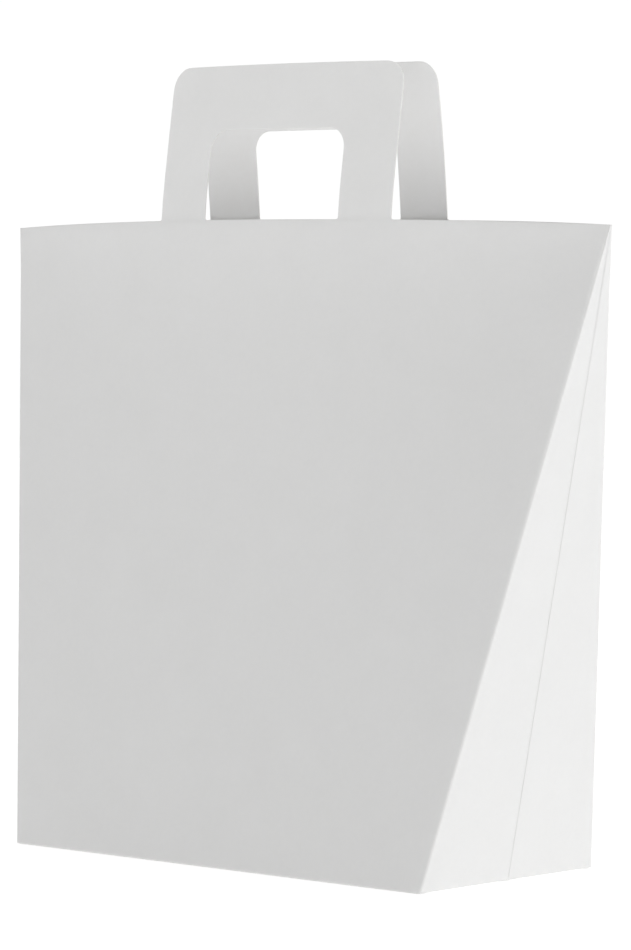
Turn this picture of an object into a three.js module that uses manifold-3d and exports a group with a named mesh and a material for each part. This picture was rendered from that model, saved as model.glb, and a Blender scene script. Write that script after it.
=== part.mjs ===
// A gift bag folded from one sheet of solid board, standing open on its base.
//
// Millimetres, +Z up. The origin is the middle of the base on the surface that the bag stands on.
// The front of the bag faces -Y and its width runs along X.
//
// The blank is a tube of six panels: front, back, and two side gussets with a crease down the middle of each.
// The base is BASE_W x BASE_D. At the mouth each gusset has closed to nothing, so that the front and the back
// are BASE_W + BASE_D wide there, and the tube folds flat along the two middle creases.
// Each panel between two creases is one mesh, and stops SETBACK short of the crease that it turns about.
import * as THREE from 'three';
import { mergeVertices } from 'three/addons/utils/BufferGeometryUtils.js';
import Module from 'manifold-3d';

// Driving dimensions
const BASE_W = 240; // base, left to right
const BASE_D = 112; // base, front to back
const PANEL_H = 280; // height of the blank from the base crease to the cut top edge
const BOARD = 0.5; // thickness of the board
const MOUTH_BOW = 20; // how far the middle of each top edge stands out from the mouth's corners
const BOW_POWER = 1.8; // how the bow grows with height: 1 is a straight ruling, more keeps the base flat
const GAP = 0.3; // air between neighbouring meshes
const SETBACK = 0.7; // from a crease to the edge of a panel that turns about it

const HANDLE_W = 139; // outer width of a handle
const HANDLE_H = 68; // from the top edge of the panel to the top of the handle
const HANDLE_LEG = 29; // width of each leg
const HANDLE_BAR = 28.5; // height of the grip above the window
const HANDLE_R = 10; // outer corners
const WINDOW_R = 9; // inner corners
const HANDLE_ROOT = 1; // air between the panel's top edge and the legs, which turn about it
const LEAN_ROOT = 5; // inward lean of a handle at its root, degrees
const LEAN_TOP = 10.5; // and at its top

const GUSSET_LIFT = 0.3; // the side creases of the base lie just above the ground
const GUSSET_TOP = 0.982; // share of the gusset's height where it has narrowed to a sliver
const FLAP_END = 1.5; // air between a base flap's end and the gusset
const FRONT_FLAP = 58; // depth of the front base flap at its shoulders
const TONGUE = 74; // depth of the front base flap at its locking tongue
const TONGUE_W = 120;
const TONGUE_R = 8;
const BACK_FLAP = 55.2; // depth of the back base flap
const BACK_FLAP_RISE = 1.15; // degrees, so that it lies on the tongue
const FLAP_TAPER = 6; // how much narrower each end of a base flap gets
const NOTCH_R = 11; // thumb notch in the back base flap
const TAB_DEPTH = 20; // corner tabs at the foot of each gusset half
const TAB_MIDDLE_CUT = 1.3; // from the gusset's middle crease to a tab
const TAB_CORNER_CUT = 4; // from the base's corner to a tab
const TAB_SLOPE = 1.06; // sideways cut per millimetre of depth
const TAB_RISE = 12; // degrees that a tab stands up from the base, clear of the flaps below it
const SEAM_W = 15; // glue flap inside the back panel
const SEAM_START = 2.2; // from the back left crease to the glue flap

// Derived dimensions
const CORNER_Y = BOARD + GAP / 2; // a mouth corner's outer face, from the middle plane
const MOUTH_W = BASE_W + BASE_D; // along the board
// A bowed edge spans a shorter chord.
const CORNER_X = (MOUTH_W / 2) * (1 - (8 / 3) * (MOUTH_BOW / MOUTH_W) ** 2);
const SIDE_RUN = CORNER_X - BASE_W / 2; // how far a gusset leans out

// The height of the top edge at across = -1 .. 1: each ruling of the board keeps its length.
function topEdgeZ(across) {
  const ruling = PANEL_H ** 2 + (across * BASE_D / 2) ** 2;
  const inward = BASE_D / 2 - CORNER_Y - MOUTH_BOW * (1 - across ** 2);
  return Math.sqrt(ruling - (across * SIDE_RUN) ** 2 - inward ** 2);
}
const CORNER_Z = topEdgeZ(1);
const GUSSET_H = Math.hypot(SIDE_RUN, CORNER_Z);

const board = new THREE.MeshStandardMaterial({ name: 'board', color: 0xf2f2ef, roughness: 0.62 });
const inner = new THREE.MeshStandardMaterial({ name: 'board_inside', color: 0xe9e8e4, roughness: 0.8 });

const wasm = await Module();
wasm.setup();

function solidOf(geometry) {
  const bare = geometry.index ? geometry.toNonIndexed() : geometry.clone();
  bare.deleteAttribute('normal');
  bare.deleteAttribute('uv');
  const merged = mergeVertices(bare, 1e-4);
  return new wasm.Manifold(new wasm.Mesh({
    numProp: 3,
    vertProperties: merged.attributes.position.array,
    triVerts: new Uint32Array(merged.index.array),
  }));
}

function geometryOf(solid) {
  const mesh = solid.getMesh();
  const geometry = new THREE.BufferGeometry();
  geometry.setAttribute('position', new THREE.BufferAttribute(new Float32Array(mesh.vertProperties), 3));
  geometry.setIndex(new THREE.BufferAttribute(new Uint32Array(mesh.triVerts), 1));
  geometry.computeVertexNormals();
  return geometry;
}

// A sheet of board laid on the outer surface point(u, v), u and v from 0 to 1, between two depths below it.
function bentSheet(point, columns, rows, depth = 0, thickness = BOARD) {
  const geometry = new THREE.BoxGeometry(1, 1, 1, columns, rows, 1);
  const position = geometry.attributes.position;
  const step = 1e-4;
  for (let i = 0; i < position.count; i++) {
    const u = position.getX(i) + 0.5;
    const v = position.getY(i) + 0.5;
    const across = point(u + step, v).sub(point(u - step, v));
    const up = point(u, v + step).sub(point(u, v - step));
    const outward = across.cross(up).normalize();
    const below = depth + (0.5 - position.getZ(i)) * thickness;
    const p = point(u, v).addScaledVector(outward, -below);
    position.setXYZ(i, p.x, p.y, p.z);
  }
  geometry.computeVertexNormals();
  return geometry;
}

function halfWidth(height) {
  return BASE_W / 2 + SIDE_RUN * height;
}

// The outer surface of the front panel: across = -1 .. 1, height = 0 .. 1.
function panelPoint(across, height) {
  const bow = MOUTH_BOW * (1 - across ** 2) * height ** BOW_POWER;
  const y = -(BASE_D / 2) * (1 - height) - CORNER_Y * height - bow;
  return new THREE.Vector3(across * halfWidth(height), y, topEdgeZ(across) * height);
}

function panelGeometry() {
  const foot = SETBACK / PANEL_H;
  const point = (u, v) => {
    const height = foot + (1 - foot) * v;
    const edge = 1 - SETBACK / halfWidth(height);
    return panelPoint((2 * u - 1) * edge, height);
  };
  return bentSheet(point, 16, 9);
}

// A handle goes on from the panel's top edge in an arc that leans in from LEAN_ROOT to LEAN_TOP.
function handlePoint(x, rise) {
  const root = panelPoint(x / CORNER_X, 1);
  const first = THREE.MathUtils.degToRad(LEAN_ROOT);
  const curl = THREE.MathUtils.degToRad(LEAN_TOP - LEAN_ROOT) / HANDLE_H;
  const lean = first + curl * rise;
  root.y += (Math.cos(first) - Math.cos(lean)) / curl;
  root.z += (Math.sin(lean) - Math.sin(first)) / curl;
  return root;
}

// The front elevation of a handle: two legs, a grip and the window between them, open at the foot.
function handleOutline() {
  const half = HANDLE_W / 2;
  const window = half - HANDLE_LEG;
  const top = handlePoint(0, HANDLE_H).z;
  const lintel = handlePoint(0, HANDLE_H - HANDLE_BAR).z;
  const foot = CORNER_Z - 5;
  const shape = new THREE.Shape();
  shape.moveTo(half, foot);
  shape.lineTo(half, top - HANDLE_R);
  shape.absarc(half - HANDLE_R, top - HANDLE_R, HANDLE_R, 0, Math.PI / 2, false);
  shape.lineTo(HANDLE_R - half, top);
  shape.absarc(HANDLE_R - half, top - HANDLE_R, HANDLE_R, Math.PI / 2, Math.PI, false);
  shape.lineTo(-half, foot);
  shape.lineTo(-window, foot);
  shape.lineTo(-window, lintel - WINDOW_R);
  shape.absarc(WINDOW_R - window, lintel - WINDOW_R, WINDOW_R, Math.PI, Math.PI / 2, true);
  shape.lineTo(window - WINDOW_R, lintel);
  shape.absarc(window - WINDOW_R, lintel - WINDOW_R, WINDOW_R, Math.PI / 2, 0, true);
  shape.lineTo(window, foot);
  shape.closePath();
  return shape;
}

function handleGeometry() {
  const span = HANDLE_W + 2;
  const rise = HANDLE_H + 2 - HANDLE_ROOT;
  const slab = bentSheet((u, v) => handlePoint((u - 0.5) * span, HANDLE_ROOT + rise * v), 14, 6);
  const through = { depth: BASE_D, bevelEnabled: false, curveSegments: 7 };
  const cutter = new THREE.ExtrudeGeometry(handleOutline(), through);
  cutter.rotateX(Math.PI / 2);
  cutter.translate(0, BASE_D / 2, 0);
  return geometryOf(solidOf(slab).intersect(solidOf(cutter)));
}

// A flat plate: its outline is drawn on its outer face, seen from outside, from origin along right and up.
function plate(name, outline, origin, right, up, material = board) {
  const sheet = { depth: BOARD, bevelEnabled: false, curveSegments: 8 };
  const geometry = new THREE.ExtrudeGeometry(outline, sheet);
  geometry.translate(0, 0, -BOARD);
  const mesh = new THREE.Mesh(geometry, material);
  mesh.name = name;
  const outward = right.clone().cross(up);
  mesh.applyMatrix4(new THREE.Matrix4().makeBasis(right, up, outward).setPosition(origin));
  return mesh;
}

function polygon(points) {
  return new THREE.Shape(points.map(([x, y]) => new THREE.Vector2(x, y)));
}

// The front half of the right gusset, from the front right crease to the middle crease.
function gussetHalf(name) {
  const middle = BASE_D / 2 - GAP / 2;
  const foot = GUSSET_LIFT * GUSSET_H / CORNER_Z + SETBACK;
  const top = GUSSET_TOP * GUSSET_H;
  const creaseAt = (height) => (BASE_D / 2 - CORNER_Y) * height / GUSSET_H + SETBACK;
  const outline = polygon([[creaseAt(foot), foot], [middle, foot], [middle, top], [creaseAt(top), top]]);
  const origin = new THREE.Vector3(BASE_W / 2, -BASE_D / 2, 0);
  const up = new THREE.Vector3(SIDE_RUN, 0, CORNER_Z).normalize();
  return plate(name, outline, origin, new THREE.Vector3(0, 1, 0), up);
}

// The corner tab folded in from the foot of that gusset half. It is cut back on both sides, so that it can
// swing down past its neighbours while the gusset folds.
function cornerTab(name) {
  const near = TAB_MIDDLE_CUT;
  const far = BASE_D / 2 - TAB_CORNER_CUT;
  const run = (TAB_DEPTH - SETBACK) * TAB_SLOPE;
  const outline = polygon([[near, SETBACK], [far, SETBACK], [far - run, TAB_DEPTH], [near + run, TAB_DEPTH]]);
  const origin = new THREE.Vector3(BASE_W / 2 + GUSSET_LIFT * SIDE_RUN / CORNER_Z, 0, GUSSET_LIFT);
  const rise = THREE.MathUtils.degToRad(TAB_RISE);
  const up = new THREE.Vector3(-Math.cos(rise), 0, Math.sin(rise));
  return plate(name, outline, origin, new THREE.Vector3(0, -1, 0), up, inner);
}

// The outer base flap, hinged on the front panel, with the tongue that locks it under the back flap.
function frontBaseFlap() {
  const half = BASE_W / 2 - FLAP_END;
  const shoulder = half - FLAP_TAPER;
  const tongue = TONGUE_W / 2;
  const shape = new THREE.Shape();
  shape.moveTo(-half, SETBACK);
  shape.lineTo(half, SETBACK);
  shape.lineTo(shoulder, FRONT_FLAP);
  shape.lineTo(tongue, FRONT_FLAP);
  shape.lineTo(tongue, TONGUE - TONGUE_R);
  shape.absarc(tongue - TONGUE_R, TONGUE - TONGUE_R, TONGUE_R, 0, Math.PI / 2, false);
  shape.lineTo(TONGUE_R - tongue, TONGUE);
  shape.absarc(TONGUE_R - tongue, TONGUE - TONGUE_R, TONGUE_R, Math.PI / 2, Math.PI, false);
  shape.lineTo(-tongue, FRONT_FLAP);
  shape.lineTo(-shoulder, FRONT_FLAP);
  shape.closePath();
  const crease = new THREE.Vector3(0, -BASE_D / 2, 0);
  return plate('base_front_flap', shape, crease, new THREE.Vector3(-1, 0, 0), new THREE.Vector3(0, 1, 0));
}

// The inner base flap, hinged on the back panel. It rises a little to lie on the tongue.
function backBaseFlap() {
  const half = BASE_W / 2 - FLAP_END;
  const edge = half - FLAP_TAPER;
  const shape = new THREE.Shape();
  shape.moveTo(-half, SETBACK);
  shape.lineTo(half, SETBACK);
  shape.lineTo(edge, BACK_FLAP);
  shape.lineTo(NOTCH_R, BACK_FLAP);
  shape.absarc(0, BACK_FLAP, NOTCH_R, 0, Math.PI, true);
  shape.lineTo(-edge, BACK_FLAP);
  shape.closePath();
  const rise = THREE.MathUtils.degToRad(BACK_FLAP_RISE);
  const crease = new THREE.Vector3(0, BASE_D / 2, 0);
  const up = new THREE.Vector3(0, -Math.cos(rise), Math.sin(rise));
  return plate('base_back_flap', shape, crease, new THREE.Vector3(1, 0, 0), up);
}

// The glue flap, a strip along the inside of the back panel beside the back left crease.
function seamFlap() {
  const point = (u, v) => {
    const height = 0.03 + 0.93 * v;
    const x = SEAM_START + SEAM_W * u - halfWidth(height);
    return panelPoint(x / halfWidth(height), height);
  };
  const mesh = new THREE.Mesh(bentSheet(point, 3, 9, BOARD + GAP), inner);
  mesh.name = 'seam_flap';
  return mesh;
}

function named(name, geometry) {
  const mesh = new THREE.Mesh(geometry, board);
  mesh.name = name;
  return mesh;
}

// The front is modelled, and the back is the same pieces turned over in Y, as the left is in X.
function face(side, turn) {
  const group = new THREE.Group();
  group.scale.y = turn;
  group.add(named(`${side}_panel`, panelGeometry()));
  group.add(named(`${side}_handle`, handleGeometry()));
  for (const [hand, flip] of [['right', 1], ['left', -1]]) {
    const corner = new THREE.Group();
    corner.scale.x = flip;
    corner.add(gussetHalf(`${hand}_gusset_${side}`), cornerTab(`${hand}_tab_${side}`));
    group.add(corner);
  }
  return group;
}

const bag = new THREE.Group();
const back = face('back', -1);
back.add(seamFlap());
bag.add(face('front', 1), back, frontBaseFlap(), backBaseFlap());
export default bag;
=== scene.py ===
# A white gift bag folded from one sheet of board: the look of every panel, flap and handle.
# Metres, in the frame of the CAD model: the base is on z = 0 and the front panel faces -Y.
import math

import bpy
import numpy as np
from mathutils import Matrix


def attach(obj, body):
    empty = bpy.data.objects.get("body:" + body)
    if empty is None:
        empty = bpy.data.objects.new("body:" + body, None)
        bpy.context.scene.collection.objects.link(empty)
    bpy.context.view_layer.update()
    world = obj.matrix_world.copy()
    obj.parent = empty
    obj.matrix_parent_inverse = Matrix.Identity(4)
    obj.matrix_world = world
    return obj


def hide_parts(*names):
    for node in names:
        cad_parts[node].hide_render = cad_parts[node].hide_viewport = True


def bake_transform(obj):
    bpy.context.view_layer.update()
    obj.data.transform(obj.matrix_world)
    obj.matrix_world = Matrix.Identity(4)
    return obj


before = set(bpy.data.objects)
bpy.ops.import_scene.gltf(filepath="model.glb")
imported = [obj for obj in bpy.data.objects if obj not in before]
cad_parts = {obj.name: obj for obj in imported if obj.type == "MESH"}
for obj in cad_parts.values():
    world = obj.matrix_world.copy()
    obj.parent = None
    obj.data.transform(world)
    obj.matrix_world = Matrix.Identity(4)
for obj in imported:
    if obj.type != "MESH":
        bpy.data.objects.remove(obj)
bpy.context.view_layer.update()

MM = 0.001

# Driving dimensions, the same as the CAD model's but for the handle's leg
BASE_W = 240 * MM
BASE_D = 112 * MM
PANEL_H = 280 * MM
BOARD = 0.5 * MM
GAP = 0.3 * MM
MOUTH_BOW = 20 * MM
BOW_POWER = 1.8
HANDLE_W = 139 * MM
HANDLE_H = 68 * MM
HANDLE_LEG = 28.4 * MM  # 29 mm in the CAD model
HANDLE_BAR = 28.5 * MM
HANDLE_R = 10 * MM
WINDOW_R = 9 * MM
FLAP_END = 1.5 * MM
FLAP_TAPER = 6 * MM
FLAP_START = 0.25 * MM  # a base flap or corner tab starts this far from its crease
FLAP_R = 3 * MM
FRONT_FLAP = 58 * MM
TONGUE = 74 * MM
TONGUE_W = 120 * MM
TONGUE_R = 8 * MM
TONGUE_FILLET = 2 * MM
BACK_FLAP = 55.2 * MM
BACK_FLAP_RISE = math.radians(1.15)
NOTCH_R = 11 * MM
GUSSET_LIFT = 0.3 * MM
TAB_DEPTH = 20 * MM
TAB_MIDDLE_CUT = 1.3 * MM
TAB_CORNER_CUT = 4 * MM
TAB_SLOPE = 1.06
TAB_RISE = math.radians(12)
SEAM_W = 15 * MM
SEAM_START = 2.2 * MM
SEAM_FOOT = 0.03  # where the glue flap starts, and how long it is, as shares of the panel's height
SEAM_LENGTH = 0.93

# Dimensions of the finish
BASE_FOLD_R = 0.6 * MM  # outer rounding of the folds round the base
SIDE_FOLD_R = 1.1 * MM  # and of those beside the gussets
GROOVE = 0.22 * MM  # depth of the scored line down a gusset's middle
GROOVE_W = 0.28 * MM
CUT_R = 0.07 * MM  # rounding of a die-cut edge
ROOT_FILLET = 1.0 * MM  # where a handle's sides meet the top edge
ROOT_LAP = 0.4 * MM  # a handle laps this far over its panel, to hide the join
LAP_LIFT = 0.012 * MM
LAP_END = 0.2 * MM
HANDLE_WEAR = 0.35  # wear along a handle's cut edges, against 1 on a fold
WAVE = 0.22 * MM  # unevenness of the large panels
SHARP_ANGLE = math.radians(38)  # faces that meet at more than this are shaded as a hard edge

# The two handles are not quite alike: the difference of each from HANDLE_W, how far to the right of
# the middle the die cut it, and its inward lean at the root and at the top
FRONT_HANDLE_NARROWER = 3.6 * MM
FRONT_HANDLE_ASIDE = 1.5 * MM
FRONT_LEAN_ROOT = math.radians(7.4)
FRONT_LEAN_TOP = math.radians(9.3)
BACK_HANDLE_WIDER = 1.6 * MM
BACK_HANDLE_ASIDE = 0.6 * MM
BACK_LEAN_ROOT = math.radians(3.5)
BACK_LEAN_TOP = math.radians(9.3)

# The unevenness of a sheet calms down towards its edges, over these distances and shares of its height
PANEL_CALM = 30 * MM
PANEL_CALM_FOOT = 0.12
PANEL_CALM_TOP = 0.1
GUSSET_CALM = 18 * MM
GUSSET_CALM_FOOT = 0.15

# The scored line fades towards the closed corner, as shares of the gusset's height
GROOVE_LEFT = 0.1  # share of its depth that is left
GROOVE_FADE_END = 0.86
GROOVE_FADE = 0.16

CORNER_Y = BOARD + GAP / 2
MOUTH_W = BASE_W + BASE_D
CORNER_X = (MOUTH_W / 2) * (1 - (8 / 3) * (MOUTH_BOW / MOUTH_W) ** 2)
SIDE_RUN = CORNER_X - BASE_W / 2


# ---------------------------------------------------------------- surfaces


def top_edge_z(across):
    """Height of the mouth's edge at across = -1 .. 1: each ruling of the board keeps its length."""
    ruling = PANEL_H**2 + (across * BASE_D / 2) ** 2
    inward = BASE_D / 2 - CORNER_Y - MOUTH_BOW * (1 - across**2)
    return np.sqrt(ruling - (across * SIDE_RUN) ** 2 - inward**2)


CORNER_Z = float(top_edge_z(np.float64(1)))
GUSSET_H = math.hypot(SIDE_RUN, CORNER_Z)
PANEL_TILT = math.atan2(BASE_D / 2 - CORNER_Y, CORNER_Z)
GUSSET_TILT = math.atan2(SIDE_RUN, CORNER_Z)


def half_width(height):
    return BASE_W / 2 + SIDE_RUN * height


def panel_at(x, height):
    """Outer surface of the front panel at x, for height = 0 at the base and 1 at the top edge."""
    across = x / half_width(height)
    bow = MOUTH_BOW * (1 - across**2) * np.maximum(height, 0) ** BOW_POWER
    y = -(BASE_D / 2) * (1 - height) - CORNER_Y * height - bow
    return np.stack([x + 0 * height, y, top_edge_z(across) * height], axis=-1)


def root_slope(x):
    """Inward lean of the front panel at its top edge, in radians."""
    step = 1e-4
    a = panel_at(x, np.full_like(x, 1 - step))
    b = panel_at(x, np.full_like(x, 1.0))
    return np.arctan2(b[..., 1] - a[..., 1], b[..., 2] - a[..., 2])


def smoothstep(t):
    t = np.clip(t, 0, 1)
    return t * t * (3 - 2 * t)


def handle_at(x, rise, lean_root, lean_top):
    """Outer surface of the front handle, at a distance of rise above the top edge along the board.
    The board leaves the panel at the panel's own slope and curls in towards the grip."""
    steps = 24
    bend = 16 * MM
    slope = root_slope(x)
    y = np.zeros_like(x)
    z = np.zeros_like(x)
    up = np.maximum(rise, 0)
    for k in range(steps):
        r = up * (k + 0.5) / steps
        target = lean_root + (lean_top - lean_root) * r / HANDLE_H
        lean = slope + (target - slope) * smoothstep(r / bend)
        y += np.sin(lean) * up / steps
        z += np.cos(lean) * up / steps
    below = panel_at(x, 1 + np.minimum(rise, 0) / PANEL_H)
    return below + np.stack([np.zeros_like(x), y, z], axis=-1)


def waviness(x, z, phase):
    """Slow unevenness of a large sheet, from -1 to 1."""
    a = np.sin(x / (31 * MM) + 1.3 * phase) * np.cos(z / (43 * MM) + phase)
    b = np.sin((x + 0.7 * z) / (24 * MM) - 2.1 * phase)
    c = np.cos((0.4 * x - z) / (57 * MM) + 0.6 * phase)
    return 0.4 * a + 0.22 * b + 0.38 * c


# ---------------------------------------------------------------- sheets with real edges

# Columns of a grid line, as lines() gives them: its share of the way across the sheet, how far from there
# the outer face's point is and how deep, the same for the inner face, and the distance to the nearer edge
SHARE, OUTER_AT, OUTER_DEPTH, INNER_AT, INNER_DEPTH, FROM_EDGE = range(6)
FAR = 1.0  # distance given to the lines that are not beside an edge
# Material slots of every piece
OUTER_FACE, INNER_FACE, CUT_FACE = range(3)


def crease_edge(dihedral, radius):
    """Edge of a sheet at a fold: a rounded outer corner and a mitre on the inside.
    Rows of (outer distance from the crease, outer depth, inner distance, inner depth)."""
    half = dihedral / 2
    turn = math.pi / 2 - half
    mitre = BOARD / math.tan(half)
    tangent = radius / math.tan(half)
    arc = []
    for k in range(4, 0, -1):
        a = turn * k / 4
        arc.append((tangent - radius * math.sin(a), radius - radius * math.cos(a)))
    outer = arc + [(tangent, 0.0), (tangent + 0.5 * MM, 0.0), (tangent + 1.4 * MM, 0.0), (4 * MM, 0.0)]
    first = outer[0][0]
    last = outer[-1][0]
    rows = []
    for distance, depth in outer:
        share = (distance - first) / (last - first)
        rows.append((distance, depth, mitre + (last - mitre) * share, BOARD))
    return rows


def groove_edge():
    """Edge at a gusset's middle: half of a scored groove, with its ridge on the inside."""
    rows = []
    for distance in (0.0, 0.08 * MM, 0.16 * MM, 0.26 * MM, 0.4 * MM, 0.6 * MM, 1.0 * MM):
        sink = GROOVE * math.exp(-((distance / GROOVE_W) ** 2))
        rows.append((distance, sink, distance, BOARD + 0.7 * sink))
    return rows


def cut_edge():
    """A die-cut edge, very slightly rounded."""
    rows = []
    for k in (0, 1, 2):
        a = math.pi / 2 * (1 - k / 2)
        distance = CUT_R * (1 - math.sin(a))
        depth = CUT_R * (1 - math.cos(a))
        rows.append((distance, depth, distance, BOARD - depth))
    rows.append((0.7 * MM, 0.0, 0.7 * MM, BOARD))
    return rows


def lines(start, end, between):
    """Grid lines from one edge of a sheet to the other, a row of six columns for each."""
    out = [(0.0, a, b, c, d, a) for a, b, c, d in start]
    for k in range(1, between):
        share = k / between
        offset = start[-1][0] * (1 - share) - end[-1][0] * share
        out.append((share, offset, 0.0, offset, BOARD, FAR))
    out += [(1.0, -a, b, -c, d, a) for a, b, c, d in reversed(end)]
    return np.array(out)


def normals_of(point, p, q):
    """Outward unit normals of a surface by finite differences."""
    step = 2e-5
    du = point(p + step, q) - point(p - step, q)
    dv = point(p, q + step) - point(p, q - step)
    n = np.cross(du, dv)
    return n / np.linalg.norm(n, axis=-1, keepdims=True)


def closed_sheet(name, outer, inner, cut_sides, wear, border):
    """A mesh from two grids of points and the walls between their borders. cut_sides names the walls
    that are cut edges. wear is 1 on a fold, and border is 1 along the edges of the sheet."""
    rows, columns = outer.shape[:2]
    index = np.arange(rows * columns).reshape(rows, columns)
    back = index + rows * columns
    faces = []
    slots = []

    def quad(a, b, c, d, material):
        faces.append((int(a), int(b), int(c), int(d)))
        slots.append(material)

    for i in range(rows - 1):
        for j in range(columns - 1):
            quad(index[i, j], index[i, j + 1], index[i + 1, j + 1], index[i + 1, j], OUTER_FACE)
            quad(back[i, j], back[i + 1, j], back[i + 1, j + 1], back[i, j + 1], INNER_FACE)
    for j in range(columns - 1):
        low = CUT_FACE if "bottom" in cut_sides else OUTER_FACE
        high = CUT_FACE if "top" in cut_sides else OUTER_FACE
        quad(index[0, j + 1], index[0, j], back[0, j], back[0, j + 1], low)
        quad(index[-1, j], index[-1, j + 1], back[-1, j + 1], back[-1, j], high)
    for i in range(rows - 1):
        near = CUT_FACE if "left" in cut_sides else OUTER_FACE
        far = CUT_FACE if "right" in cut_sides else OUTER_FACE
        quad(index[i, 0], index[i + 1, 0], back[i + 1, 0], back[i, 0], near)
        quad(index[i + 1, -1], index[i, -1], back[i, -1], back[i + 1, -1], far)
    points = np.concatenate([outer.reshape(-1, 3), inner.reshape(-1, 3)])
    mesh = bpy.data.meshes.new(name)
    mesh.from_pydata(points.tolist(), [], faces)
    mesh.polygons.foreach_set("material_index", slots)
    mesh.polygons.foreach_set("use_smooth", [True] * len(faces))
    for label, share in (("wear", wear), ("border", border)):
        values = np.concatenate([share.ravel(), share.ravel()]).astype(np.float32)
        mesh.attributes.new(label, "FLOAT", "POINT").data.foreach_set("value", values)
    mesh.set_sharp_from_angle(angle=SHARP_ANGLE)
    mesh.update()
    piece = bpy.data.objects.new(name, mesh)
    bpy.context.scene.collection.objects.link(piece)
    return piece


def flip(piece, x=1, y=1):
    """Mirrors a finished piece in X or Y, keeping its faces pointing out."""
    mesh = piece.data
    points = np.empty(len(mesh.vertices) * 3, np.float32)
    mesh.vertices.foreach_get("co", points)
    points = points.reshape(-1, 3) * np.array([x, y, 1], np.float32)
    mesh.vertices.foreach_set("co", points.ravel())
    if x * y < 0:
        mesh.flip_normals()
    mesh.update()
    return piece


def nearness(distances, reach=0.8 * MM):
    """1 on a crease, falling to 0 about a millimetre away."""
    return np.exp(-((distances / reach) ** 2))


# ---------------------------------------------------------------- materials

THROUGH = 0.9  # share of the light that enters the board, so that a little comes through
THROUGH_REACH = 0.75 * MM  # how far it spreads inside
BORDER = 1.3 * MM  # none enters this near to the edge of a sheet, where neighbouring sheets are one board


def node(tree, kind, x, y, **values):
    made = tree.nodes.new(kind)
    made.location = (x, y)
    for key, value in values.items():
        if hasattr(made, key):
            setattr(made, key, value)
        else:
            made.inputs[key.replace("_", " ")].default_value = value
    return made


def ramp(tree, x, y, stops):
    made = node(tree, "ShaderNodeValToRGB", x, y)
    while len(made.color_ramp.elements) < len(stops):
        made.color_ramp.elements.new(0.5)
    for element, (position, value) in zip(made.color_ramp.elements, stops):
        element.position = position
        element.color = value if len(value) == 4 else (*value, 1)
    return made


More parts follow.
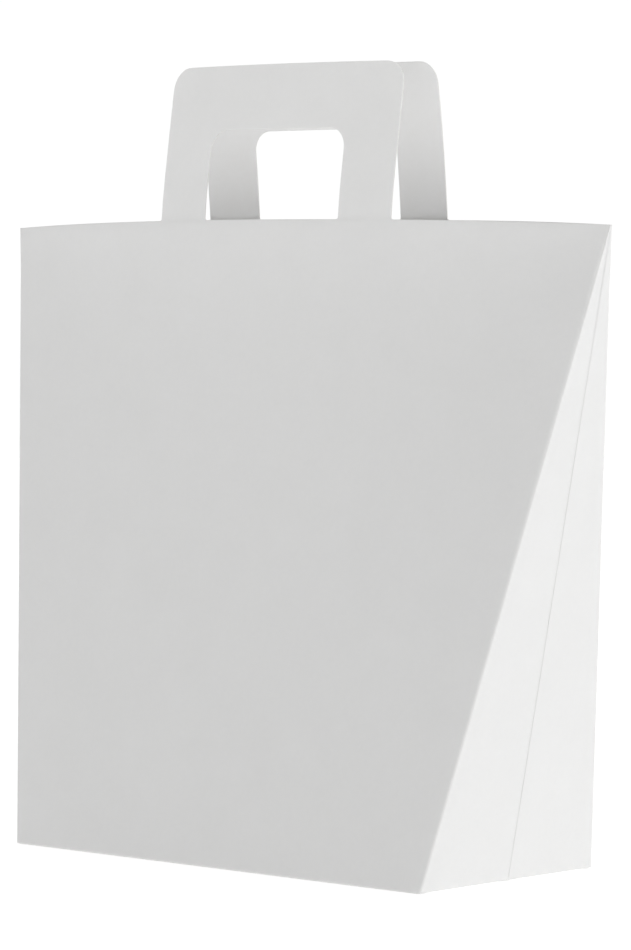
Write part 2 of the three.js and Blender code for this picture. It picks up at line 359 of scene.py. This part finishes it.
def board_material(name, light, dark, rough, fibre, coarse, specular, sheen):
    """White solid board. light and dark bound its mottling, rough is its range of roughness, and fibre
    and coarse are the depths in metres of the fine fibre relief and of the wider unevenness."""
    material = bpy.data.materials.new(name)
    material.use_nodes = True
    tree = material.node_tree
    tree.nodes.clear()
    out = node(tree, "ShaderNodeOutputMaterial", 900, 0)
    shader = node(tree, "ShaderNodeBsdfPrincipled", 600, 0)
    shader.inputs["Specular IOR Level"].default_value = specular
    shader.inputs["Sheen Weight"].default_value = sheen
    shader.inputs["Sheen Roughness"].default_value = 0.6
    shader.inputs["Subsurface Radius"].default_value = (1, 1, 1)
    shader.inputs["Subsurface Scale"].default_value = THROUGH_REACH
    tree.links.new(shader.outputs[0], out.inputs[0])
    place = node(tree, "ShaderNodeTexCoord", -1300, 0)

    def noise(y, scale, detail, roughness, stretch=(1, 1, 1)):
        mapping = node(tree, "ShaderNodeMapping", -1100, y)
        mapping.inputs["Scale"].default_value = stretch
        made = node(tree, "ShaderNodeTexNoise", -900, y)
        made.inputs["Scale"].default_value = scale
        made.inputs["Detail"].default_value = detail
        made.inputs["Roughness"].default_value = roughness
        tree.links.new(place.outputs["Object"], mapping.inputs["Vector"])
        tree.links.new(mapping.outputs[0], made.inputs["Vector"])
        return made

    cloud = noise(500, scale=38, detail=5, roughness=0.62)
    mottle = noise(250, scale=420, detail=4, roughness=0.7)
    fibres = noise(0, scale=1500, detail=3, roughness=0.6, stretch=(1, 1, 0.35))
    swell = noise(-250, scale=75, detail=3, roughness=0.5)
    wear = node(tree, "ShaderNodeAttribute", -900, -500, attribute_name="wear")
    cracks = noise(-700, scale=2600, detail=3, roughness=0.75, stretch=(1, 1, 0.15))

    blend = node(tree, "ShaderNodeMix", -600, 400, data_type="FLOAT")
    blend.inputs[0].default_value = 0.45
    tree.links.new(cloud.outputs["Fac"], blend.inputs[2])
    tree.links.new(mottle.outputs["Fac"], blend.inputs[3])
    tone = ramp(tree, -350, 400, [(0.32, dark), (0.66, light)])
    tree.links.new(blend.outputs[0], tone.inputs[0])

    scuffed = node(tree, "ShaderNodeMath", -350, -500, operation="MULTIPLY")
    tree.links.new(wear.outputs["Fac"], scuffed.inputs[0])
    tree.links.new(cracks.outputs["Fac"], scuffed.inputs[1])
    worn = node(tree, "ShaderNodeMix", 0, 300, data_type="RGBA", blend_type="MULTIPLY")
    tree.links.new(scuffed.outputs[0], worn.inputs[0])
    tree.links.new(tone.outputs[0], worn.inputs[6])
    worn.inputs[7].default_value = (0.965, 0.962, 0.955, 1)
    tree.links.new(worn.outputs[2], shader.inputs["Base Color"])

    edge = node(tree, "ShaderNodeAttribute", -900, -900, attribute_name="border")
    enters = node(tree, "ShaderNodeMapRange", -350, -900)
    enters.inputs["To Min"].default_value = THROUGH
    enters.inputs["To Max"].default_value = 0
    tree.links.new(edge.outputs["Fac"], enters.inputs["Value"])
    tree.links.new(enters.outputs[0], shader.inputs["Subsurface Weight"])

    gloss = node(tree, "ShaderNodeMapRange", -350, 50)
    gloss.inputs["To Min"].default_value = rough[0]
    gloss.inputs["To Max"].default_value = rough[1]
    tree.links.new(mottle.outputs["Fac"], gloss.inputs["Value"])
    duller = node(tree, "ShaderNodeMath", 0, 50, operation="MULTIPLY_ADD")
    duller.inputs[1].default_value = 0.25
    tree.links.new(scuffed.outputs[0], duller.inputs[0])
    tree.links.new(gloss.outputs[0], duller.inputs[2])
    tree.links.new(duller.outputs[0], shader.inputs["Roughness"])

    low = node(tree, "ShaderNodeBump", 0, -150)
    low.inputs["Distance"].default_value = coarse
    low.inputs["Strength"].default_value = 1
    tree.links.new(swell.outputs["Fac"], low.inputs["Height"])
    fine = node(tree, "ShaderNodeBump", 200, -250)
    fine.inputs["Distance"].default_value = fibre
    fine.inputs["Strength"].default_value = 1
    tree.links.new(fibres.outputs["Fac"], fine.inputs["Height"])
    tree.links.new(low.outputs[0], fine.inputs["Normal"])
    creased = node(tree, "ShaderNodeBump", 400, -400)
    creased.inputs["Distance"].default_value = 0.03 * MM
    creased.inputs["Strength"].default_value = 1
    tree.links.new(scuffed.outputs[0], creased.inputs["Height"])
    tree.links.new(fine.outputs[0], creased.inputs["Normal"])
    tree.links.new(creased.outputs[0], shader.inputs["Normal"])
    return material


def cut_material():
    """The core of the board on a die-cut edge: pale, dull pulp with a fine mottle and a rough surface."""
    material = bpy.data.materials.new("board_cut_edge")
    material.use_nodes = True
    tree = material.node_tree
    shader = tree.nodes["Principled BSDF"]
    shader.inputs["Specular IOR Level"].default_value = 0.2
    place = node(tree, "ShaderNodeTexCoord", -900, 0)
    pulp = node(tree, "ShaderNodeTexNoise", -700, 100)
    pulp.inputs["Scale"].default_value = 3200
    pulp.inputs["Detail"].default_value = 4
    tree.links.new(place.outputs["Object"], pulp.inputs["Vector"])
    tone = ramp(tree, -450, 150, [(0.3, (0.80, 0.79, 0.765)), (0.7, (0.90, 0.895, 0.88))])
    tree.links.new(pulp.outputs["Fac"], tone.inputs[0])
    tree.links.new(tone.outputs[0], shader.inputs["Base Color"])
    dull = node(tree, "ShaderNodeMapRange", -450, -100)
    dull.inputs["To Min"].default_value = 0.8
    dull.inputs["To Max"].default_value = 0.95
    tree.links.new(pulp.outputs["Fac"], dull.inputs["Value"])
    tree.links.new(dull.outputs[0], shader.inputs["Roughness"])
    rough = node(tree, "ShaderNodeBump", -200, -250)
    rough.inputs["Distance"].default_value = 0.06 * MM
    tree.links.new(pulp.outputs["Fac"], rough.inputs["Height"])
    tree.links.new(rough.outputs[0], shader.inputs["Normal"])
    return material


OUTSIDE = board_material(
    "board_coated",
    light=(0.855, 0.855, 0.849),
    dark=(0.83, 0.83, 0.824),
    rough=(0.46, 0.6),
    fibre=0.012 * MM,
    coarse=0.10 * MM,
    specular=0.42,
    sheen=0.05,
)
INSIDE = board_material(
    "board_uncoated",
    light=(0.935, 0.932, 0.925),
    dark=(0.91, 0.906, 0.898),
    rough=(0.78, 0.92),
    fibre=0.03 * MM,
    coarse=0.12 * MM,
    specular=0.22,
    sheen=0.12,
)
CUT = cut_material()


def finish(piece, body, nodes):
    """Materials and body of a finished piece, and hides the CAD parts that it stands in for."""
    for material in (OUTSIDE, INSIDE, CUT):
        piece.data.materials.append(material)
    if body:
        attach(piece, body)
    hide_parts(*nodes)
    return piece


# ---------------------------------------------------------------- panels

PANEL_BASE = math.pi / 2 - PANEL_TILT  # inside angle between a large panel and the base
GUSSET_BASE = math.pi / 2 + GUSSET_TILT
SIDE_FOLD = math.acos(math.sin(PANEL_TILT) * math.sin(GUSSET_TILT))  # inside angle between panel and gusset


def large_panel(side, phase):
    """The front or back of the bag, from the base to the cut top edge."""
    side_fold = crease_edge(SIDE_FOLD, SIDE_FOLD_R)
    across = lines(side_fold, side_fold, between=72)
    upward = lines(crease_edge(PANEL_BASE, BASE_FOLD_R), cut_edge(), between=64)

    def grid(offset, depth):
        height = upward[:, None, SHARE] + upward[:, None, offset] / PANEL_H + 0 * across[None, :, SHARE]
        x = (2 * across[None, :, SHARE] - 1) * half_width(height) + across[None, :, offset]
        join = np.add if depth == OUTER_DEPTH else np.minimum
        sink = join(across[None, :, depth], upward[:, None, depth])
        point = panel_at(x, height)
        normal = normals_of(panel_at, x, height)
        edge = half_width(height) - np.abs(x)
        calm = smoothstep(edge / PANEL_CALM) * smoothstep(height / PANEL_CALM_FOOT)
        calm = calm * smoothstep((1 - height) / PANEL_CALM_TOP)
        lift = WAVE * calm * waviness(x, height * PANEL_H, phase)
        return point + normal * (lift - sink)[..., None]

    folded = upward[:, None, SHARE] < 0.5  # the top edge is cut, not folded
    from_side = across[None, :, FROM_EDGE]
    from_end = upward[:, None, FROM_EDGE]
    wear = np.maximum(nearness(from_side), folded * nearness(from_end))
    border = np.maximum(nearness(from_side, BORDER), nearness(from_end, BORDER))
    outer = grid(OUTER_AT, OUTER_DEPTH)
    inner = grid(INNER_AT, INNER_DEPTH)
    piece = closed_sheet(f"{side}_panel_board", outer, inner, ("top",), wear, border)
    if side == "back":
        flip(piece, y=-1)
    return finish(piece, f"{side}_panel", [f"{side}_panel"])


def gusset_half(hand, side, phase):
    """Half of a side gusset, from its outer crease to the scored line down the middle."""
    across = lines(crease_edge(SIDE_FOLD, SIDE_FOLD_R), groove_edge(), between=18)
    upward = lines(crease_edge(GUSSET_BASE, BASE_FOLD_R), cut_edge(), between=60)
    zone = 6 * MM  # a half narrower than this has narrower folds too
    foot = GUSSET_LIFT / CORNER_Z

    def fade_at(height):
        """The scored line dies out towards the closed corner."""
        return GROOVE_LEFT + (1 - GROOVE_LEFT) * smoothstep((GROOVE_FADE_END - height) / GROOVE_FADE)

    def point(y, height):
        return np.stack([half_width(height), y + 0 * height, CORNER_Z * height], axis=-1)

    def grid(offset, depth):
        height = foot + (1 - foot) * upward[:, None, SHARE] + upward[:, None, offset] / GUSSET_H
        height = height + 0 * across[None, :, SHARE]
        crease = (BASE_D / 2) * (1 - height) + CORNER_Y * height
        narrow = np.minimum(1, crease / zone)
        y = -crease * (1 - across[None, :, SHARE]) + across[None, :, offset] * narrow
        middle = (across[None, :, SHARE] > 0.99) * (1 - fade_at(height))
        join, plain = (np.add, 0) if depth == OUTER_DEPTH else (np.minimum, BOARD)
        sink = join(across[None, :, depth] * (1 - middle) + plain * middle, upward[:, None, depth])
        normal = np.array([math.cos(GUSSET_TILT), 0, -math.sin(GUSSET_TILT)])
        calm = smoothstep((crease + y) / GUSSET_CALM) * smoothstep(-y / GUSSET_CALM)
        calm = calm * smoothstep(height / GUSSET_CALM_FOOT)
        lift = 0.5 * WAVE * calm * waviness(y * 2, height * PANEL_H, phase)
        return point(y, height) + normal * (lift - sink)[..., None]

    folded = upward[:, None, SHARE] < 0.5
    line = np.where(across[None, :, SHARE] > 0.99, fade_at(upward[:, None, SHARE]), 1)
    from_side = across[None, :, FROM_EDGE]
    from_end = upward[:, None, FROM_EDGE]
    wear = np.maximum(line * nearness(from_side), folded * nearness(from_end))
    beside = across[None, :, SHARE] < 0.5  # the fold beside the large panel
    border = np.maximum(beside * nearness(from_side, BORDER), nearness(from_end, BORDER))
    outer = grid(OUTER_AT, OUTER_DEPTH)
    inner = grid(INNER_AT, INNER_DEPTH)
    piece = closed_sheet(f"{hand}_gusset_{side}_board", outer, inner, ("top",), wear, border)
    flip(piece, x=1 if hand == "right" else -1, y=1 if side == "front" else -1)
    name = f"{hand}_gusset_{side}"
    return finish(piece, name, [name])


# ---------------------------------------------------------------- handles


def handle_path(half, top, radius, fillet_sign):
    """Right half of a handle's outline, as (x, rise) points from below the root to the middle of the grip.
    fillet_sign is 1 for the outer outline, which flares outwards at the root, and -1 for the window's."""
    points = []
    rises = [-ROOT_LAP, 0.0]
    rises += [ROOT_FILLET * k / 6 for k in range(1, 7)]
    straight = top - radius
    rises += list(np.linspace(ROOT_FILLET, straight, 22)[1:])
    for rise in rises:
        gone = min(max(rise, 0.0), ROOT_FILLET)
        flare = ROOT_FILLET - math.sqrt(ROOT_FILLET**2 - (ROOT_FILLET - gone) ** 2)
        points.append((half + fillet_sign * flare, rise))
    for k in range(1, 13):
        a = math.pi / 2 * k / 12
        points.append((half - radius + radius * math.cos(a), straight + radius * math.sin(a)))
    for k in range(1, 21):
        points.append(((half - radius) * (1 - k / 20), top))
    return np.array(points)


def handle(side, width, aside, lean_root, lean_top):
    """A die-cut handle: a strip up one leg, across the grip and down the other leg. aside is how far the die
    cut it from the middle of the panel."""
    outer_path = handle_path(width / 2, HANDLE_H, HANDLE_R, 1)
    inner_path = handle_path(width / 2 - HANDLE_LEG, HANDLE_H - HANDLE_BAR, WINDOW_R, -1)
    mirror = np.array([-1, 1])
    outer_path = np.concatenate([outer_path, outer_path[-2::-1] * mirror])
    inner_path = np.concatenate([inner_path, inner_path[-2::-1] * mirror])
    columns = lines(cut_edge(), cut_edge(), between=14)
    towards = inner_path - outer_path
    breadth = np.linalg.norm(towards, axis=1)[:, None]

    def point(x, rise):
        return handle_at(x, rise, lean_root, lean_top)

    def grid(offset, depth):
        share = columns[None, :, SHARE] + columns[None, :, offset] / breadth
        flat = outer_path[:, None, :] + towards[:, None, :] * share[..., None]
        x = flat[..., 0] + aside
        rise = flat[..., 1]
        normal = normals_of(point, x, rise)
        outwards = 1 if depth == OUTER_DEPTH else -1
        lap = LAP_LIFT * (rise < LAP_END) * outwards
        sink = columns[None, :, depth] + 0 * x
        return point(x, rise) + normal * (lap - sink)[..., None]

    wear = HANDLE_WEAR * nearness(columns[None, :, FROM_EDGE] * 3) + np.zeros((len(outer_path), 1))
    border = nearness(np.abs(outer_path[:, 1:]), BORDER) + np.zeros((1, len(columns)))
    outer = grid(OUTER_AT, OUTER_DEPTH)
    inner = grid(INNER_AT, INNER_DEPTH)
    piece = closed_sheet(f"{side}_handle_board", outer, inner, ("left", "right"), wear, border)
    if side == "back":
        flip(piece, y=-1)
    finish(piece, None, [f"{side}_handle"])
    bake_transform(piece)
    return piece


# ---------------------------------------------------------------- base


def arc(cx, cy, radius, start, end, steps=10):
    """Points on an arc, angles in degrees."""
    angles = np.radians(np.linspace(start, end, steps + 1))
    return [(cx + radius * math.cos(a), cy + radius * math.sin(a)) for a in angles]


def flat_plate(name, outline, origin, right, up):
    """A flat piece of board: outline on its outer face, seen from outside, with softened edges."""
    right = np.array(right, float)
    up = np.array(up, float)
    outward = np.cross(right, up)
    flat = np.array(outline)
    outer = np.array(origin) + flat[:, :1] * right + flat[:, 1:] * up
    count = len(flat)
    points = np.concatenate([outer, outer - outward * BOARD])
    faces = [list(range(count)), list(range(2 * count - 1, count - 1, -1))]
    faces += [[(i + 1) % count, i, i + count, (i + 1) % count + count] for i in range(count)]
    mesh = bpy.data.meshes.new(name)
    mesh.from_pydata(points.tolist(), [], faces)
    materials = [OUTER_FACE, INNER_FACE] + [CUT_FACE] * count
    mesh.polygons.foreach_set("material_index", materials)
    mesh.attributes.new("wear", "FLOAT", "POINT")
    piece = bpy.data.objects.new(name, mesh)
    bpy.context.scene.collection.objects.link(piece)
    soften = piece.modifiers.new("cut edges", "BEVEL")
    soften.width = CUT_R
    soften.segments = 2
    soften.limit_method = "ANGLE"
    soften.angle_limit = math.radians(60)
    bpy.context.view_layer.update()
    done = bpy.data.meshes.new_from_object(piece.evaluated_get(bpy.context.evaluated_depsgraph_get()))
    piece.modifiers.clear()
    piece.data = done
    return piece


def front_base_flap():
    """The outer base flap with its locking tongue."""
    half = BASE_W / 2 - FLAP_END
    shoulder = half - FLAP_TAPER
    tongue = TONGUE_W / 2
    outline = [(-half, FLAP_START), (half, FLAP_START)]
    outline += arc(shoulder - FLAP_R, FRONT_FLAP - FLAP_R, FLAP_R, 0, 90, 6)
    outline += arc(tongue + TONGUE_FILLET, FRONT_FLAP + TONGUE_FILLET, TONGUE_FILLET, 270, 180, 5)
    outline += arc(tongue - TONGUE_R, TONGUE - TONGUE_R, TONGUE_R, 0, 90)
    outline += arc(TONGUE_R - tongue, TONGUE - TONGUE_R, TONGUE_R, 90, 180)
    outline += arc(-tongue - TONGUE_FILLET, FRONT_FLAP + TONGUE_FILLET, TONGUE_FILLET, 0, -90, 5)
    outline += arc(FLAP_R - shoulder, FRONT_FLAP - FLAP_R, FLAP_R, 90, 180, 6)
    piece = flat_plate("base_front_flap_board", outline, (0, -BASE_D / 2, 0), (-1, 0, 0), (0, 1, 0))
    return finish(piece, "base_front_flap", ["base_front_flap"])


def back_base_flap():
    """The inner base flap with its thumb notch. It rises a little to lie on the tongue."""
    half = BASE_W / 2 - FLAP_END
    edge = half - FLAP_TAPER
    outline = [(-half, FLAP_START), (half, FLAP_START)]
    outline += arc(edge - FLAP_R, BACK_FLAP - FLAP_R, FLAP_R, 0, 90, 6)
    outline += arc(0, BACK_FLAP, NOTCH_R, 0, -180, 18)
    outline += arc(FLAP_R - edge, BACK_FLAP - FLAP_R, FLAP_R, 90, 180, 6)
    up = (0, -math.cos(BACK_FLAP_RISE), math.sin(BACK_FLAP_RISE))
    piece = flat_plate("base_back_flap_board", outline, (0, BASE_D / 2, 0), (1, 0, 0), up)
    return finish(piece, "base_back_flap", ["base_back_flap"])


def corner_tab(hand, side):
    """The dust flap folded in from the foot of a gusset half."""
    near = TAB_MIDDLE_CUT
    far = BASE_D / 2 - TAB_CORNER_CUT
    run = (TAB_DEPTH - FLAP_START) * TAB_SLOPE
    outline = [(near, FLAP_START), (far, FLAP_START), (far - run, TAB_DEPTH), (near + run, TAB_DEPTH)]
    origin = (BASE_W / 2 + GUSSET_LIFT * SIDE_RUN / CORNER_Z, 0, GUSSET_LIFT)
    up = (-math.cos(TAB_RISE), 0, math.sin(TAB_RISE))
    name = f"{hand}_tab_{side}"
    piece = flat_plate(f"{name}_board", outline, origin, (0, -1, 0), up)
    flip(piece, x=1 if hand == "right" else -1, y=1 if side == "front" else -1)
    return finish(piece, name, [name])


def seam_flap():
    """The glue flap inside the back panel, beside the back left crease."""
    across = lines(cut_edge(), cut_edge(), between=5)
    upward = lines(cut_edge(), cut_edge(), between=40)

    def grid(offset, depth):
        height = SEAM_FOOT + SEAM_LENGTH * upward[:, None, SHARE] + upward[:, None, offset] / PANEL_H
        height = height + 0 * across[None, :, SHARE]
        x = SEAM_START + SEAM_W * across[None, :, SHARE] + across[None, :, offset] - half_width(height)
        join = np.maximum if depth == OUTER_DEPTH else np.minimum
        sink = BOARD + GAP + join(across[None, :, depth], upward[:, None, depth])
        return panel_at(x, height) - normals_of(panel_at, x, height) * sink[..., None]

    plain = np.zeros((len(upward), len(across)))
    sides = ("left", "right", "top", "bottom")
    outer = grid(OUTER_AT, OUTER_DEPTH)
    inner = grid(INNER_AT, INNER_DEPTH)
    piece = closed_sheet("seam_flap_board", outer, inner, sides, plain, plain)
    flip(piece, y=-1)
    return finish(piece, "back_panel", ["seam_flap"])


# ---------------------------------------------------------------- the studio

SKY_FRONT = 0.5  # brightness of the soft light in front of the bag
SKY_BACK = 1.02  # and behind it, where it is the backdrop
FLOOR_GLOW = 0.62  # the floor is a light table


def studio():
    """A pale floor in front of a pale sky, which lights the bag softly from all round, and a large
    gentle key light from the right."""
    scene = bpy.context.scene
    scene.view_settings.view_transform = "Standard"
    scene.view_settings.look = "None"
    world = bpy.data.worlds.new("studio")
    scene.world = world
    world.use_nodes = True
    tree = world.node_tree
    sky = tree.nodes["Background"]
    sky.inputs["Strength"].default_value = 1
    way = node(tree, "ShaderNodeTexCoord", -900, 0)
    split = node(tree, "ShaderNodeSeparateXYZ", -700, 0)
    tree.links.new(way.outputs["Generated"], split.inputs[0])
    front_to_back = node(tree, "ShaderNodeMapRange", -500, 0, interpolation_type="SMOOTHSTEP")
    front_to_back.inputs["From Min"].default_value = -0.6
    front_to_back.inputs["From Max"].default_value = 0.5
    front_to_back.inputs["To Min"].default_value = SKY_FRONT
    front_to_back.inputs["To Max"].default_value = SKY_BACK
    tree.links.new(split.outputs["Y"], front_to_back.inputs["Value"])
    tree.links.new(front_to_back.outputs[0], sky.inputs["Color"])

    mesh = bpy.data.meshes.new("floor")
    radius = 4.0
    sides = 96
    ring = [(radius * math.cos(a), radius * math.sin(a), 0) for a in np.linspace(0, math.tau, sides + 1)[:-1]]
    mesh.from_pydata(ring, [], [list(range(sides))])
    floor = bpy.data.objects.new("floor", mesh)
    scene.collection.objects.link(floor)
    paper = bpy.data.materials.new("floor_paper")
    paper.use_nodes = True
    shader = paper.node_tree.nodes["Principled BSDF"]
    shader.inputs["Base Color"].default_value = (0.62, 0.62, 0.62, 1)
    shader.inputs["Roughness"].default_value = 0.9
    shader.inputs["Specular IOR Level"].default_value = 0.1
    shader.inputs["Emission Color"].default_value = (1, 1, 1, 1)
    shader.inputs["Emission Strength"].default_value = FLOOR_GLOW
    mesh.materials.append(paper)

    def area(name, place, aim, size, power):
        lamp = bpy.data.lights.new(name, "AREA")
        lamp.shape = "RECTANGLE"
        lamp.size = size[0]
        lamp.size_y = size[1]
        lamp.energy = power
        holder = bpy.data.objects.new(name, lamp)
        holder.location = place
        towards = np.array(aim) - np.array(place)
        yaw = math.atan2(towards[1], towards[0]) - math.pi / 2
        pitch = math.atan2(towards[2], math.hypot(towards[0], towards[1]))
        holder.rotation_euler = (math.pi / 2 + pitch, 0, yaw)
        scene.collection.objects.link(holder)

    area("key", place=(2.6, 0.2, 1.2), aim=(0, 0, 0.15), size=(1.4, 1.4), power=4.9)


def camera():
    """A long lens at the front right, just above the middle of the bag, looking a little down."""
    lens = 171.92
    azimuth = math.radians(42.664)
    pitch = math.radians(2.723)
    roll = math.radians(-0.05)
    place = (1.3439, -1.4474, 0.2606)
    data = bpy.data.cameras.new("camera")
    data.lens = lens
    data.sensor_width = 36  # millimetres, as the lens
    holder = bpy.data.objects.new("camera", data)
    holder.location = place
    holder.rotation_euler = (math.pi / 2 - pitch, roll, azimuth)
    bpy.context.scene.collection.objects.link(holder)
    bpy.context.scene.camera = holder


studio()
camera()

large_panel("front", phase=0.4)
large_panel("back", phase=2.3)
for hand_index, hand in enumerate(("right", "left")):
    for side_index, side in enumerate(("front", "back")):
        gusset_half(hand, side, phase=1.1 + hand_index + 2 * side_index)
        corner_tab(hand, side)
handle("front", HANDLE_W - FRONT_HANDLE_NARROWER, FRONT_HANDLE_ASIDE, FRONT_LEAN_ROOT, FRONT_LEAN_TOP)
handle("back", HANDLE_W + BACK_HANDLE_WIDER, BACK_HANDLE_ASIDE, BACK_LEAN_ROOT, BACK_LEAN_TOP)
front_base_flap()
back_base_flap()
seam_flap()
